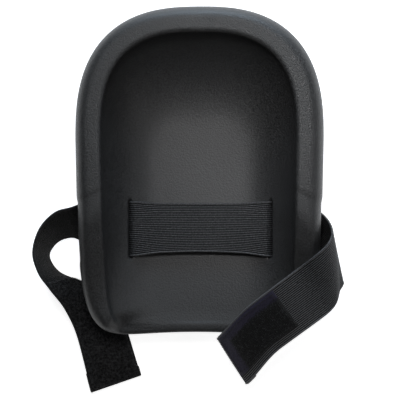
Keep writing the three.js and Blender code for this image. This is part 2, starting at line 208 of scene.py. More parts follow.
def pad_section(angle, wall_steps=14, round_steps=7, bowl_steps=16, floor_steps=12):
    """The pad's section at one angle: kneeling face, outside wall, rim, cup wall, cup floor."""
    centre = np.array([0.0, ARCH_Y])
    outer = outline_point(angle, PAD, PAD_POWERS)
    base = outline_point(angle, BASE, BASE_POWERS)
    lip = outline_point(angle, LIP, LIP_POWERS)
    height = rim_height(*outer)
    shoulder = mix(SHOULDER, END_SHOULDER, open_share(*outer))
    widest = height * WIDEST_AT
    outer = mix(outer, centre, channel_depth(outer[1]) / np.linalg.norm(outer - centre))
    section = [(*mix(centre, base, share), 0.0) for share in (0.3, 0.6, 0.85, 1.0)]

    # outside wall, then the rounded shoulder from the widest point up towards the lip
    for i in range(1, wall_steps + 1):
        turn = i / wall_steps * math.pi / 2
        section.append((*mix(base, outer, math.sin(turn)), widest * (1 - math.cos(turn))))
    for i in range(1, round_steps + 1):
        turn = i / round_steps * math.pi / 2
        inward = shoulder * (1 - math.cos(turn))
        section.append((*mix(outer, lip, inward), mix(widest, height, math.sin(turn))))

    # the lip's small round edge
    radius = min(LIP_RADIUS, float(height - floor_height(*lip)) / 2)
    lip_start = 1 - radius / np.linalg.norm(outer - lip)
    for i in range(round_steps + 1):
        turn = i / round_steps * math.pi / 2
        inward = mix(lip_start, 1, math.sin(turn))
        section.append((*mix(outer, lip, inward), height - radius * (1 - math.cos(turn))))

    # the cup: its wall sweeps down to the floor at inner, which lies nearest the lip at the foot
    start = mix(BOWL_SIDE, BOWL_TOP, max(0.0, math.sin(angle)) ** 1.5)
    inner = mix(centre, lip, np.array([start, BOWL_FOOT if math.sin(angle) < 0 else start]))
    for i in range(1, bowl_steps + 1):
        share = math.cos(i / bowl_steps * math.pi / 2)
        place = mix(inner, lip, share)
        rise = 0.2 * share**3 + 0.8 * (1 - math.sqrt(max(0.0, 1 - share * share)))
        section.append((*place, mix(float(floor_height(*place)), height - radius, rise)))
    for i in range(1, floor_steps):
        place = mix(inner, centre, i / floor_steps)
        section.append((*place, float(floor_height(*place))))
    return section


def pad_blank(sections=320):
    """The pad's closed skin, without its slots."""
    points, faces = [], []
    for i in range(sections):
        section = pad_section(i / sections * 2 * math.pi)
        rings = len(section)
        points.extend(section)
    under = len(points)
    points.append((0, ARCH_Y, 0))
    points.append((0, ARCH_Y, FLOOR_THICKNESS))
    for i in range(sections):
        here, after = i * rings, (i + 1) % sections * rings
        faces.append((under, after, here))
        for k in range(rings - 1):
            faces.append((here + k, after + k, after + k + 1, here + k + 1))
        faces.append((here + rings - 1, after + rings - 1, under + 1))
    return make_object("foam_shell", points, faces)


def slot_cutter(side):
    """A block through the pad that leaves one strap slot."""
    slant = math.atan2(SLOT_EXIT[0] - SLOT_MOUTH[0], SLOT_MOUTH[1] - SLOT_EXIT[1])
    x_middle, z_middle = ((a + b) / 2 for a, b in zip(SLOT_MOUTH, SLOT_EXIT))
    middle = Vector((side * x_middle, STRAP_Y, z_middle))
    points = []
    for x in (-1, 1):
        for y in (-1, 1):
            for z in (-1, 1):
                corner = Vector((x * SLOT_WIDTH / 2, y * SLOT_LENGTH / 2, z * SLOT_REACH / 2))
                turned = Vector((
                    corner.x * math.cos(slant) - side * corner.z * math.sin(slant),
                    corner.y,
                    side * corner.x * math.sin(slant) + corner.z * math.cos(slant),
                ))
                points.append(turned + middle)
    faces = [(0, 1, 3, 2), (4, 6, 7, 5), (0, 4, 5, 1), (2, 3, 7, 6), (0, 2, 6, 4), (1, 5, 7, 3)]
    return make_object("slot_cutter", points, faces)


def tread_depth(x, y):
    """Shallow anti-slip grooves across the kneeling face, fading out towards its edges."""
    pitch, width, depth, slant = 13.0, 2.6, 0.9, 0.28
    patch_half_width, patch_half_length, patch_y = 47, 72, 8
    chevron = y + slant * np.abs(x)
    from_line = np.abs((chevron + pitch / 2) % pitch - pitch / 2)
    groove = 1 - smooth(width * 0.3, width * 0.75, from_line)
    inside = 1 - smooth(0.86, 0.97, np.hypot(x / patch_half_width, (y - patch_y) / patch_half_length))
    return depth * groove * inside


def foam_shell():
    """The foam pad in one skin, with its slots cut and grooves pressed into its underside."""
    pad = pad_blank()
    cutters = [slot_cutter(side) for side in (-1, 1)]
    for cutter in cutters:
        cut = pad.modifiers.new("slot", "BOOLEAN")
        cut.operation = "DIFFERENCE"
        cut.solver = "EXACT"
        cut.object = cutter
    remesh = pad.modifiers.new("remesh", "REMESH")
    remesh.mode = "VOXEL"
    remesh.voxel_size = 1.15 * MM
    soften = pad.modifiers.new("soften", "SMOOTH")
    soften.factor = 0.5
    soften.iterations = 3
    apply_modifiers(pad)
    for cutter in cutters:
        bpy.data.objects.remove(cutter)

    mesh = pad.data
    count = len(mesh.vertices)
    co = np.empty(count * 3)
    mesh.vertices.foreach_get("co", co)
    co = co.reshape(-1, 3)
    x, y, z = (co / MM).T
    underside = smooth(6, 1, z)
    co[:, 2] += tread_depth(x, y) * underside * MM
    mesh.vertices.foreach_set("co", co.ravel())
    mesh.update()
    mesh.shade_smooth()
    return pad


# ---------------------------------------------------------------- strap surfaces


def catmull(points, centripetal=True, per_segment=32):
    """Points closely spaced along a Catmull-Rom spline through the given points."""
    p = np.array(points, float)
    p = np.vstack([2 * p[0] - p[1], p, 2 * p[-1] - p[-2]])
    t = np.linspace(0, 1, per_segment, endpoint=False)[:, None]
    out = []
    for i in range(1, len(p) - 2):
        a, b, c, d = p[i - 1 : i + 3]
        if centripetal:
            ab, bc, cd = (math.sqrt(np.linalg.norm(q - r)) for q, r in ((b, a), (c, b), (d, c)))
            t1 = ((b - a) / ab - (c - a) / (ab + bc) + (c - b) / bc) * bc
            t2 = ((c - b) / bc - (d - b) / (bc + cd) + (d - c) / cd) * bc
        else:
            t1, t2 = (c - a) / 2, (d - b) / 2
        out.append(b + t1 * t + (-3 * b + 3 * c - 2 * t1 - t2) * t**2 + (2 * b - 2 * c + t1 + t2) * t**3)
    out.append(p[-2][None, :])
    return np.vstack(out)


def arc_lengths(line):
    steps = np.linalg.norm(np.diff(line, axis=0), axis=1)
    return np.concatenate([[0], np.cumsum(steps)])


def along(line, lengths, u):
    """The points of a line at the distances u along it."""
    return np.stack([np.interp(u, lengths, line[:, k]) for k in range(3)], axis=-1)


class Bridge:
    """The stretch across the cup and down through both slots. u runs to +X."""

    def __init__(self):
        half = [
            (0, BRIDGE_Z), (43, BRIDGE_Z), (47.4, 29.9), (50.2, 28.7), (52.2, 25.2),
            (55.9, 19), (60, 12), (62.9, 7.2), (65.6, 4.9), (EXIT_X, EXIT_Z),
        ]
        points = [(-x, 0, z) for x, z in half[:0:-1]] + [(x, 0, z) for x, z in half]
        self.line = catmull(points)
        self.lengths = arc_lengths(self.line)
        self.length = self.lengths[-1]

    def at(self, u, v):
        point = along(self.line, self.lengths, u)
        aside = np.abs(point[..., 0])
        middle = clamp01(1 - (aside / SLOT_MOUTH[0]) ** 2)
        lower = clamp01((STRAP_WIDTH / 2 - np.asarray(v)) / STRAP_WIDTH)
        at_slot = smooth(30, 48, aside) * (1 - smooth(51, 62, aside))
        widened = 1 - NECKING * middle + SPREAD * at_slot
        point[..., 1] = STRAP_Y + v * widened + BOW * middle * lower
        return point


class Left:
    """The loop-tape tail. Each station is (thigh-side edge, other edge)."""

    stations = [
        ((-69, -21, 4.4), (-69, -61, 4.4)),
        ((-80.5, -21.6, 12.6), (-81, -58, 3.4)),
        ((-92.3, -24.6, 34.6), (-93.7, -48.8, 4.4)),
        ((-105, -28.6, 38.2), (-104, -48.9, 5)),
        ((-115.6, -40, 41.6), (-111.6, -54, 5.8)),
        ((-120.4, -57, 43), (-115.2, -62.6, 6.2)),
        ((-117, -71.8, 41), (-107.8, -74.2, 5)),
        ((-109.4, -84, 34.6), (-91.6, -81.5, 3.8)),
        ((-101.5, -96.4, 25), (-73.5, -88.5, 3.7)),
        ((-96.2, -108.7, 18), (-63, -101, 3.7)),
        ((-91.1, -120.6, 14.4), (-57.6, -119.6, 3.8)),
        ((-84.8, -144.6, 10.6), (-51.4, -141.5, 3.9)),
        ((-81, -163.6, 7), (-47.9, -152.4, 3.9)),
    ]

    def __init__(self):
        pairs = np.array(self.stations, float)
        self.middle = catmull(pairs.mean(axis=1))
        across = pairs[:, 0] - pairs[:, 1]
        self.across = catmull(across / np.linalg.norm(across, axis=1)[:, None], centripetal=False)
        self.lengths = arc_lengths(self.middle)
        self.length = self.lengths[-1]

    def at(self, u, v):
        across = along(self.across, self.lengths, u)
        across /= np.linalg.norm(across, axis=-1, keepdims=True)
        return along(self.middle, self.lengths, u) + across * np.asarray(v)[..., None]


class Right:
    """The hook-tape tail, wound over a loose cylinder whose rulings run along self.ruling."""

    ruling = np.array([0.21, -0.9777, 0])
    outward = np.array([0.9777, 0.21, 0])
    section = [
        (0, EXIT_Z), (9, 6.6), (16.8, 13.6), (22.5, 26), (25.2, 42), (24, 57), (17.6, 68.4),
        (7.6, 73.6), (-6, 73), (-20, 69.4), (-34, 64), (-48, 57), (-60, 48.5), (-72, 37), (-79, 28),
    ]
    length = RIGHT_END

    def __init__(self):
        self.line = catmull([(out, 0, up) for out, up in self.section])
        self.lengths = arc_lengths(self.line)

    def on_winding(self, u, v):
        """The point on the cylinder; the first stretch runs straight out of the slot instead."""
        wound = u * math.cos(SKEW) + v * math.sin(SKEW)
        here = along(self.line, self.lengths, wound)
        out = here[..., 0] + np.minimum(wound, 0)
        aside = u * math.sin(SKEW) - v * math.cos(SKEW)
        slot = np.array([EXIT_X, STRAP_Y, 0])
        point = slot + out[..., None] * self.outward + aside[..., None] * self.ruling
        point[..., 2] = here[..., 2]
        flat_z = along(self.line, self.lengths, u * math.cos(SKEW))[..., 2]
        straight = np.stack([EXIT_X + u, STRAP_Y + v, flat_z], axis=-1)
        return mix(straight, point, smooth(0, SETTLE, u)[..., None])

    def at(self, u, v):
        """The cylinder's point, with the droop, tuck, sway and sweep of real webbing."""
        u, v = np.broadcast_arrays(np.asarray(u, float), np.asarray(v, float))
        inward = STRAP_WIDTH / 2 - v
        past = u * math.cos(SKEW) + v * math.sin(SKEW) - FOLD_AT
        drooped = smooth(0, DROOP_SPAN, past)
        tucked = smooth(*TUCK_IN, past) - smooth(*TUCK_OUT, past)
        astray = (SWAY + FLARE * inward) * smooth(*SWAY_SPAN, u)
        point = self.on_winding(u, v + SPLAY * inward * drooped - astray)
        point[..., 2] -= DROOP * inward * drooped
        point -= (TUCK * tucked * (inward / STRAP_WIDTH) ** 2)[..., None] * self.outward
        point[..., 0] += SWEEP * smooth(*SWEEP_SPAN, u) * inward / STRAP_WIDTH
        return point

    def on_ruling(self, distance):
        """The line across the strap that lies along one ruling of the winding."""
        return lambda v: (distance - v * math.sin(SKEW)) / math.cos(SKEW)


def normals(surface, u, v):
    """Unit normals, on the side that carries the tapes."""
    step = 0.2
    lengthwise = surface.at(u + step, v) - surface.at(u - step, v)
    across = surface.at(u, v + step) - surface.at(u, v - step)
    n = np.cross(across, lengthwise)
    return n / np.linalg.norm(n, axis=-1, keepdims=True)


def off(surface, u, v, height):
    """The point at a height above the surface."""
    return surface.at(u, v) + normals(surface, u, v) * np.asarray(height)[..., None]


def sheet_mesh(name, surface, start, end, v, low, high, step=1.2, smooth_angle=50):
    """A closed sheet between the lines start(v) and end(v). low and high give the heights of its
    two faces at (u, v)."""
    v = np.asarray(v, float)
    u0, u1 = np.array([start(x) for x in v]), np.array([end(x) for x in v])
    rows = max(3, int(math.ceil(float(np.max(u1 - u0)) / step)))
    share = np.linspace(0, 1, rows + 1)[:, None]
    u = mix(u0[None, :], u1[None, :], share)
    vv = np.broadcast_to(v, u.shape)
    top, under = off(surface, u, vv, high(u, vv)), off(surface, u, vv, low(u, vv))
    columns = len(v)
    index = np.arange(u.size).reshape(u.shape)
    faces = []
    for i in range(rows):
        for j in range(columns - 1):
            a, b, c, d = index[i, j], index[i, j + 1], index[i + 1, j + 1], index[i + 1, j]
            faces.append((a, b, c, d))
            faces.append((u.size + a, u.size + d, u.size + c, u.size + b))
    border = [*index[0, :-1], *index[:-1, -1], *index[-1, :0:-1], *index[:0:-1, 0]]
    for a, b in zip(border, border[1:] + border[:1]):
        faces.append((b, a, u.size + a, u.size + b))
    faces = [tuple(int(i) for i in face) for face in faces]
    points = np.vstack([top.reshape(-1, 3), under.reshape(-1, 3)])
    uv = np.stack([u, vv], axis=-1).reshape(-1, 2)
    return make_object(name, points, faces, np.vstack([uv, uv]), smooth_angle)


# ---------------------------------------------------------------- webbing


def rib_columns():
    """Distances across the webbing, five to a rib, with round edges."""
    half = STRAP_WIDTH / 2
    inner = np.linspace(-half + 0.5, half - 0.5, RIBS * 5 + 1)
    return np.concatenate([[-half, -half + 0.15], inner, [half - 0.15, half]])


def rib_height(u, v):
    """Half the webbing's thickness: fine lengthwise ribs between two firmer selvedges."""
    half = STRAP_WIDTH / 2
    groove, bold_groove, pick_height, pick_length = 0.42, 0.55, 0.03, 2.4
    turn = (v + half - 0.5) / RIB_PITCH * 2 * math.pi
    rib = (0.5 - 0.5 * np.cos(turn)) ** 0.7
    bold = smooth(half - 6.0, half - 5.4, v)
    staggered = np.floor(turn / 2 / math.pi) * math.pi
    pick = pick_height * np.cos(u * 2 * math.pi / pick_length + staggered)
    height = STRAP_THICKNESS / 2 - mix(groove, bold_groove, bold) * (1 - rib) + pick * rib
    selvedge = smooth(half - 1.5, half - 1.0, np.abs(v))
    height = mix(height, STRAP_THICKNESS / 2 + 0.1, selvedge)
    edge = clamp01((half - np.abs(v)) / 0.6)
    return height * np.sqrt(1 - (1 - edge) ** 2 * 0.9)


def webbing(name, surface, start, end):
    """Ribbed webbing between the lines start(v) and end(v) across it."""
    return sheet_mesh(
        name, surface, start, end, rib_columns(),
        low=lambda u, v: -rib_height(u, v),
        high=rib_height,
        smooth_angle=80,
    )


def constant(value):
    return lambda v: value


def hem(name, surface, end):
    """The strap's end, turned under and pressed flat, with a rounded fold and a cut edge."""
    half, underside = STRAP_WIDTH / 2, -STRAP_THICKNESS / 2

    def low(u, v):
        fold = clamp01((end - u) / 1.6)
        cut = clamp01((u - (end - HEM_LENGTH)) / 0.8)
        return underside - 0.35 - 1.3 * np.sqrt(fold * (2 - fold)) * mix(0.45, 1, cut)

    def high(u, v):
        return np.full_like(u, underside - 0.12)

    return sheet_mesh(
        name, surface, constant(end - HEM_LENGTH), constant(end),
        np.linspace(-half - 0.5, half + 0.5, 40), low, high, step=0.6)


# ---------------------------------------------------------------- tapes and stitching


def grain(point_mm, size):
    """Coherent noise from about -1 to 1 at a scale given in millimetres."""
    return noise.noise(Vector(point_mm) / size)


def tape_ground(name, surface, start, end, side, roughness):
    """The woven ground of a tape, from v = side. Its face is uneven by about roughness mm."""
    bottom = STRAP_THICKNESS / 2 + 0.05

    def high(u, v):
        spots = zip(u.ravel(), v.ravel())
        uneven = [grain((a, b, 3.1), 1.7) + 0.6 * grain((a, b, 7.7), 5.0) for a, b in spots]
        uneven = np.array(uneven).reshape(u.shape)
        edge = smooth(0, 1.6, np.minimum(TAPE_HALF - v, v - side))
        edge = edge * smooth(0, 1.2, u - start) * smooth(0, 1.2, end - u)
        return bottom + 0.35 + edge * (0.55 + roughness * uneven)

    def low(u, v):
        return np.full_like(u, bottom)

    v = np.linspace(side, TAPE_HALF, int((TAPE_HALF - side) / 0.75) + 1)
    return sheet_mesh(name, surface, constant(start), constant(end), v, low, high, step=0.8)


def tube_faces(base, rings, sides):
    """Faces of a closed tube whose ring points are stored one ring after another."""
    faces = []
    for r in range(rings - 1):
        for s in range(sides):
            a, b = base + r * sides + s, base + r * sides + (s + 1) % sides
            faces.append((a, b, b + sides, a + sides))
    faces.append(tuple(base + s for s in reversed(range(sides))))
    faces.append(tuple(base + (rings - 1) * sides + s for s in range(sides)))
    return faces


def fibres(name, surface, strands, radius, sides=3):
    """One mesh of many short bent strands. A strand is a list of (u, v, height)."""
    points, faces = [], []
    for strand in strands:
        s = np.array(strand, float)
        line = off(surface, s[:, 0], s[:, 1], s[:, 2])
        base = len(points)
        tangents = np.gradient(line, axis=0)
        tangents /= np.linalg.norm(tangents, axis=1)[:, None]
        helper = normals(surface, s[:, 0], s[:, 1]) + np.array([0.13, 0.07, 0.05])
        side = np.cross(tangents, helper)
        side /= np.linalg.norm(side, axis=1)[:, None]
        third = np.cross(side, tangents)
        for i in range(len(line)):
            for k in range(sides):
                turn = 2 * math.pi * k / sides
                outward = math.cos(turn) * side[i] + math.sin(turn) * third[i]
                points.append(line[i] + radius * outward)
        faces.extend(tube_faces(base, len(line), sides))
    return make_object(name, points, faces)


def loop_pile(name, surface, start, end, count):
    """Small tangled loops of yarn standing on the loop tape."""
    rng = random.Random(11)
    half = TAPE_HALF - 1.2
    ground = STRAP_THICKNESS / 2 + 0.75
    strands = []
    for _ in range(count):
        u, v = rng.uniform(start + 1, end - 1), rng.uniform(-half, half)
        turn, reach = rng.uniform(0, 2 * math.pi), rng.uniform(0.5, 1.3)
        tall, lean = rng.uniform(0.6, 1.25), rng.uniform(-0.6, 0.6)
        strand = []
        for k in range(5):
            share = k / 4
            swing = math.sin(share * math.pi) * lean
            du = math.cos(turn) * reach * (share - 0.5) - math.sin(turn) * swing
            dv = math.sin(turn) * reach * (share - 0.5) + math.cos(turn) * swing
            strand.append((u + du, v + dv, ground + tall * math.sin(share * math.pi)))
        strands.append(strand)
    return fibres(name, surface, strands, radius=0.09)


def hook_field(name, surface, start, end):
    """Rows of small nylon hooks, clear of the tape's smooth selvedge and end."""
    rng = random.Random(5)
    ground = STRAP_THICKNESS / 2 + 0.7
    strands = []
    rows = int((end - start - HOOK_END_SELVEDGE) / HOOK_PITCH)
    columns = int((TAPE_HALF - HOOK_SIDE - HOOK_SELVEDGE) / HOOK_SPACING)
    for i in range(rows):
        for j in range(columns):
            u = start + HOOK_PITCH + i * HOOK_PITCH + rng.uniform(-0.25, 0.25)
            v = HOOK_SIDE + 0.8 + (j + 0.5 * (i % 2)) * HOOK_SPACING + rng.uniform(-0.2, 0.2)
            bend = rng.choice((-1, 1)) * rng.uniform(0.4, 0.6)
            strands.append([
                (u, v, ground), (u, v, ground + 0.55), (u + bend * 0.5, v, ground + 0.9),
                (u + bend, v, ground + 0.72),
            ])
    return fibres(name, surface, strands, radius=0.14, sides=4)


def stitching(name, surface, start, end, side, inset=2.2, pitch=2.6):
    """Separate lock stitches in a run round a tape."""
    u0, u1, v0, v1 = start + inset, end - inset, side + inset, TAPE_HALF - inset
    corners = [(u0, v0), (u1, v0), (u1, v1), (u0, v1)]
    height = STRAP_THICKNESS / 2 + 1.1
    strands = []
    for (u0, v0), (u1, v1) in zip(corners, corners[1:] + corners[:1]):
        length = math.hypot(u1 - u0, v1 - v0)
        count = int(length / pitch)
        for k in range(count):
            a, b = (k + 0.1) / count, (k + 0.9) / count
            strand = []
            for share in (0, 0.15, 0.5, 0.85, 1):
                t = mix(a, b, share)
                sink = 0.45 * (2 * share - 1) ** 4
                strand.append((mix(u0, u1, t), mix(v0, v1, t), height - sink))
            strands.append(strand)
    return fibres(name, surface, strands, radius=0.26, sides=6)


# ---------------------------------------------------------------- materials


class Nodes:
    """A short way to write a material's node tree."""

    def __init__(self, name):
        self.material = bpy.data.materials.new(name)
        self.material.use_nodes = True
        self.tree = self.material.node_tree
        self.shader = self.tree.nodes["Principled BSDF"]

    def new(self, kind, **settings):
        node = self.tree.nodes.new(kind)
        for key, value in settings.items():
            if hasattr(node, key):
                setattr(node, key, value)
            else:
                node.inputs[key].default_value = value
        return node

    def link(self, source, target):
        self.tree.links.new(source, target)

    def set(self, **values):
        for key, value in values.items():
            self.shader.inputs[key.replace("_", " ")].default_value = value

    def paint(self, colour):
        self.link(colour, self.shader.inputs["Base Color"])

    def coordinates(self, kind):
        return self.new("ShaderNodeTexCoord").outputs[kind]

    def noise(self, coordinates, scale, detail=4.0, roughness=0.55):
        node = self.new("ShaderNodeTexNoise")
        node.inputs["Scale"].default_value = scale
        node.inputs["Detail"].default_value = detail
        node.inputs["Roughness"].default_value = roughness
        self.link(coordinates, node.inputs["Vector"])
        return node.outputs["Fac"]

    def ramp(self, value, stops):
        node = self.new("ShaderNodeValToRGB")
        elements = node.color_ramp.elements
        for element, (place, colour) in zip(elements, (stops[0], stops[-1])):
            element.position = place
            element.color = (*colour, 1)
        for place, colour in stops[1:-1]:
            elements.new(place).color = (*colour, 1)
        self.link(value, node.inputs["Fac"])
        return node.outputs["Color"]

    def math(self, operation, value, *constants):
        node = self.new("ShaderNodeMath")
        node.operation = operation
        self.link(value, node.inputs[0])
        for socket, constant_value in zip(node.inputs[1:], constants):
            if isinstance(constant_value, bpy.types.NodeSocket):
                self.link(constant_value, socket)
            else:
                socket.default_value = constant_value
        return node.outputs[0]

    def between(self, value, low, high, source=(0, 1)):
        node = self.new("ShaderNodeMapRange")
        node.inputs["From Min"].default_value, node.inputs["From Max"].default_value = source
        node.inputs["To Min"].default_value = low
        node.inputs["To Max"].default_value = high
        self.link(value, node.inputs["Value"])
        return node.outputs["Result"]

    def bump(self, height, distance, strength, under=None):
        node = self.new("ShaderNodeBump")
        node.inputs["Distance"].default_value = distance
        node.inputs["Strength"].default_value = strength
        self.link(height, node.inputs["Height"])
        if under is not None:
            self.link(under, node.inputs["Normal"])
        return node.outputs["Normal"]


def grey(value, blue=1.0):
    return (value, value, value * blue)


def foam_material():
    """Moulded closed-cell foam: a fine pebbled skin with a soft sheen and faint clouding."""
    m = Nodes("moulded_foam")
    here = m.coordinates("Object")
    clouds = m.noise(here, 30, detail=3)
    fine = m.noise(here, 780, detail=3, roughness=0.65)
    cells = m.noise(here, 1700, detail=2, roughness=0.7)
    pebbles = m.between(fine, 0.0, 1.0, source=(0.3, 0.7))
    speckle = m.math("MULTIPLY", m.between(cells, 0.7, 1.3), pebbles)
    tone = m.math("MULTIPLY", m.between(clouds, 0.7, 1.3), speckle)
    dark, light = (0.0070, 0.0070, 0.0074), (0.0330, 0.0332, 0.0340)
    m.paint(m.ramp(tone, [(0.0, dark), (1.0, light)]))
    m.link(m.between(fine, 0.34, 0.64, source=(0.3, 0.7)), m.shader.inputs["Roughness"])
    coarse = m.bump(fine, 0.0004, 0.8)
    m.link(m.bump(cells, 0.00012, 0.6, under=coarse), m.shader.inputs["Normal"])
    m.set(Specular_IOR_Level=0.42)
    return m.material


def elastic_material(name, painted_light_scale, painted_highlight_span=None, painted_highlight_gain=2.4):
    """Ribbed woven elastic with painted light: lighter rib crests, painted sheen, over darker grooves,
    painted shade. lift scales the crests' painted lightness, so each strap has its own copy, lighter
    where the lamps light it and darker where it lies in shade. Where worn is given, the crests are
    painted brighter between its two distances, to painted_highlight_gain times that: a painted
    highlight."""
    m = Nodes(name)
    uv = m.coordinates("UV")
    place_on = m.new("ShaderNodeSeparateXYZ")
    m.link(uv, place_on.inputs[0])
    half = STRAP_WIDTH / 2
    ribs_per_mm = 1 / RIB_PITCH
    first_rib = (half - 0.5) * ribs_per_mm
    ribs_passed = m.math("MULTIPLY_ADD", place_on.outputs["Y"], ribs_per_mm, first_rib)
    turn = m.math("MULTIPLY", ribs_passed, 2 * math.pi)
    # painted light: the lighter crests are a painted sheen, and the darker grooves between them painted
    # shade
    crest = m.between(m.math("COSINE", turn), 1.0, 0.0, source=(-1, 1))
    from_middle = m.math("ABSOLUTE", place_on.outputs["Y"])
    # painted highlight: the selvedges are painted as light as the crests, a bright line along both edges
    selvedge = m.between(from_middle, 0.0, 0.9, source=(half - 1.5, half - 1.0))
    yarn = m.noise(uv, 0.9, detail=3)
    lit = m.math("MULTIPLY", m.math("MAXIMUM", crest, selvedge), m.between(yarn, -0.15, 1.05))
    # painted highlight: the crests are painted brighter between the two distances in worn
    if painted_highlight_span:
        painted_highlight = m.between(place_on.outputs["X"], 1.0, painted_highlight_gain, source=painted_highlight_span)
        lit = m.math("MULTIPLY", lit, painted_highlight)
    tones = [(0.08, 0.0025), (0.25, 0.013 * painted_light_scale), (0.45, 0.044 * painted_light_scale), (0.9, 0.115 * painted_light_scale)]
    m.paint(m.ramp(lit, [(at, grey(tone, 1.05)) for at, tone in tones]))
    m.link(m.between(crest, 0.85, 0.5), m.shader.inputs["Roughness"])
    m.link(m.between(crest, 0.1 * painted_light_scale, 0.42 * painted_light_scale), m.shader.inputs["Specular IOR Level"])
    picks = m.new("ShaderNodeTexWave", wave_type="BANDS", bands_direction="X")
    picks.inputs["Scale"].default_value = 0.31
    picks.inputs["Distortion"].default_value = 0.4
    m.link(uv, picks.inputs["Vector"])
    woven = m.bump(picks.outputs["Fac"], 0.00012, 0.6)
    m.link(m.bump(yarn, 0.0001, 0.5, under=woven), m.shader.inputs["Normal"])
    return m.material


def loop_material():
    """Fuzzy loop yarn: light tangles over near black gaps."""
    m = Nodes("loop_pile")
    tangle = m.noise(m.coordinates("Object"), 560, detail=5, roughness=0.7)
    dark, light = (0.0020, 0.0020, 0.0024), (0.0420, 0.0420, 0.0440)
    m.paint(m.ramp(tangle, [(0.4, dark), (0.62, light)]))
    m.link(m.bump(tangle, 0.0006, 0.9), m.shader.inputs["Normal"])
    m.set(Roughness=0.95, Specular_IOR_Level=0.2, Sheen_Weight=0.03, Sheen_Roughness=0.6)
    return m.material


def hook_material():
    """Hook tape ground: a black field with a purple-grey selvedge along one side and the end."""
    m = Nodes("hook_tape_ground")
    uv = m.coordinates("UV")
    yarn = m.noise(uv, 0.8, detail=4, roughness=0.65)
    place_on = m.new("ShaderNodeSeparateXYZ")
    m.link(uv, place_on.inputs[0])
    uneven = m.between(yarn, -4.5, 4.5)
    across = m.math("ADD", place_on.outputs["Y"], uneven)
    lengthwise = m.math("ADD", place_on.outputs["X"], uneven)
    side_start, tip_start = TAPE_HALF - HOOK_SELVEDGE, RIGHT_END - HOOK_END_SELVEDGE
    side = m.between(across, 0.0, 1.0, source=(side_start, side_start + 1.5))
    tip = m.between(lengthwise, 0.0, 1.0, source=(tip_start - 1.5, tip_start + 1))
    fades = m.new("ShaderNodeMix", data_type="RGBA")
    m.link(m.math("MAXIMUM", side, tip), fades.inputs["Factor"])
    dark_purple, light_purple = (0.0080, 0.0062, 0.0170), (0.0270, 0.0235, 0.0450)
    m.link(m.ramp(yarn, [(0.35, grey(0.0020)), (0.7, grey(0.0065))]), fades.inputs["A"])
    m.link(m.ramp(yarn, [(0.3, dark_purple), (0.72, light_purple)]), fades.inputs["B"])
    m.paint(fades.outputs["Result"])
    m.link(m.bump(yarn, 0.0005, 0.8), m.shader.inputs["Normal"])
    m.set(Roughness=0.6, Specular_IOR_Level=0.3)
    return m.material


def nylon_material():
    """Black nylon hooks, some of them paler."""
    m = Nodes("nylon_hooks")
    tone = m.noise(m.coordinates("Object"), 500, detail=2)
    m.paint(m.ramp(tone, [(0.42, grey(0.0015)), (0.6, grey(0.06, 1.05))]))
    m.set(Roughness=0.5, Specular_IOR_Level=0.25)
    return m.material


def thread_material():
    """Near black sewing thread with a fine twist."""
    m = Nodes("thread")
    twist = m.noise(m.coordinates("Object"), 2600, detail=2)
    m.paint(m.ramp(twist, [(0.35, grey(0.006, 1.1)), (0.65, grey(0.016, 1.1))]))
    m.link(m.bump(twist, 0.0001, 0.6), m.shader.inputs["Normal"])
    m.set(Roughness=0.55, Specular_IOR_Level=0.3)
    return m.material


def floor_material():
    """A white studio floor that glows a little, so that it stays nearly white beside the object."""
    m = Nodes("studio_floor")
    tone = m.noise(m.coordinates("Object"), 2, detail=1)
    m.paint(m.ramp(tone, [(0.2, grey(0.86)), (0.8, grey(0.88))]))
    m.set(Roughness=0.9, Emission_Color=(1, 1, 1, 1), Emission_Strength=0.85)
    return m.material


# ---------------------------------------------------------------- the object


def dress(obj, material, replaces=()):
    """Gives a piece its material and hides the CAD nodes that it stands for."""
    obj.data.materials.append(material)
    if replaces:
        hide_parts(*replaces)
    return obj


def place(surface, u):
    """The point in metres on the webbing's middle line at the distance u."""
    return tuple(float(x) * MM for x in surface.at(np.array(float(u)), np.array(0.0)))


def strap_piece(name, surface, start, end, elastic, replaces=()):
    """One stretch of webbing, between the lines start(v) and end(v) across it."""
    return dress(webbing(name, surface, start, end), elastic, replaces)


def build_pad():
    """The foam pad."""
    pad = dress(foam_shell(), foam_material(), ["foam_pad"])
    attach(pad, "pad")
    return pad


def build_bridge():
    """The stretch across the cup."""
    bridge = Bridge()
    # painted light: the bridge's copy of the elastic has lighter crests, painted for the lamps' light on
    # it
    elastic = elastic_material("bridge_elastic_painted_lighter", painted_light_scale=1.1)
    crossing = strap_piece(
        "webbing_bridge", bridge, constant(0), constant(bridge.length), elastic, ["strap_bridge"])
    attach(crossing, "pad")


def build_left_tail(left, elastic, thread):
    """The taped end of the left tail: webbing, loop tape with its pile, seam and hem."""
    left_tail = strap_piece(
        "webbing_left_tail", left, constant(TAIL_PIECE), constant(left.length), elastic,
        ["strap_left_tail"])
    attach(left_tail, "left_tail")

    loop_end = left.length - TAPE_SETBACK
    loop = loop_material()
    loop_ground = dress(
        tape_ground("loop_tape_ground", left, LOOP_START, loop_end, -TAPE_HALF, roughness=0.3),
        loop, ["loop_tape"])
    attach(loop_ground, "left_tail")
    loop_count = 6500
    pile = dress(
        loop_pile("loop_pile", left, LOOP_START, loop_end, loop_count), loop)
    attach(pile, "left_tail")
    loop_stitches = dress(
        stitching("loop_tape_stitches", left, LOOP_START, loop_end, -TAPE_HALF),
        thread, ["loop_tape_stitching"])
    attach(loop_stitches, "left_tail")
    left_hem = dress(hem("left_hem", left, left.length), elastic, ["left_end_hem"])
    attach(left_hem, "left_tail")


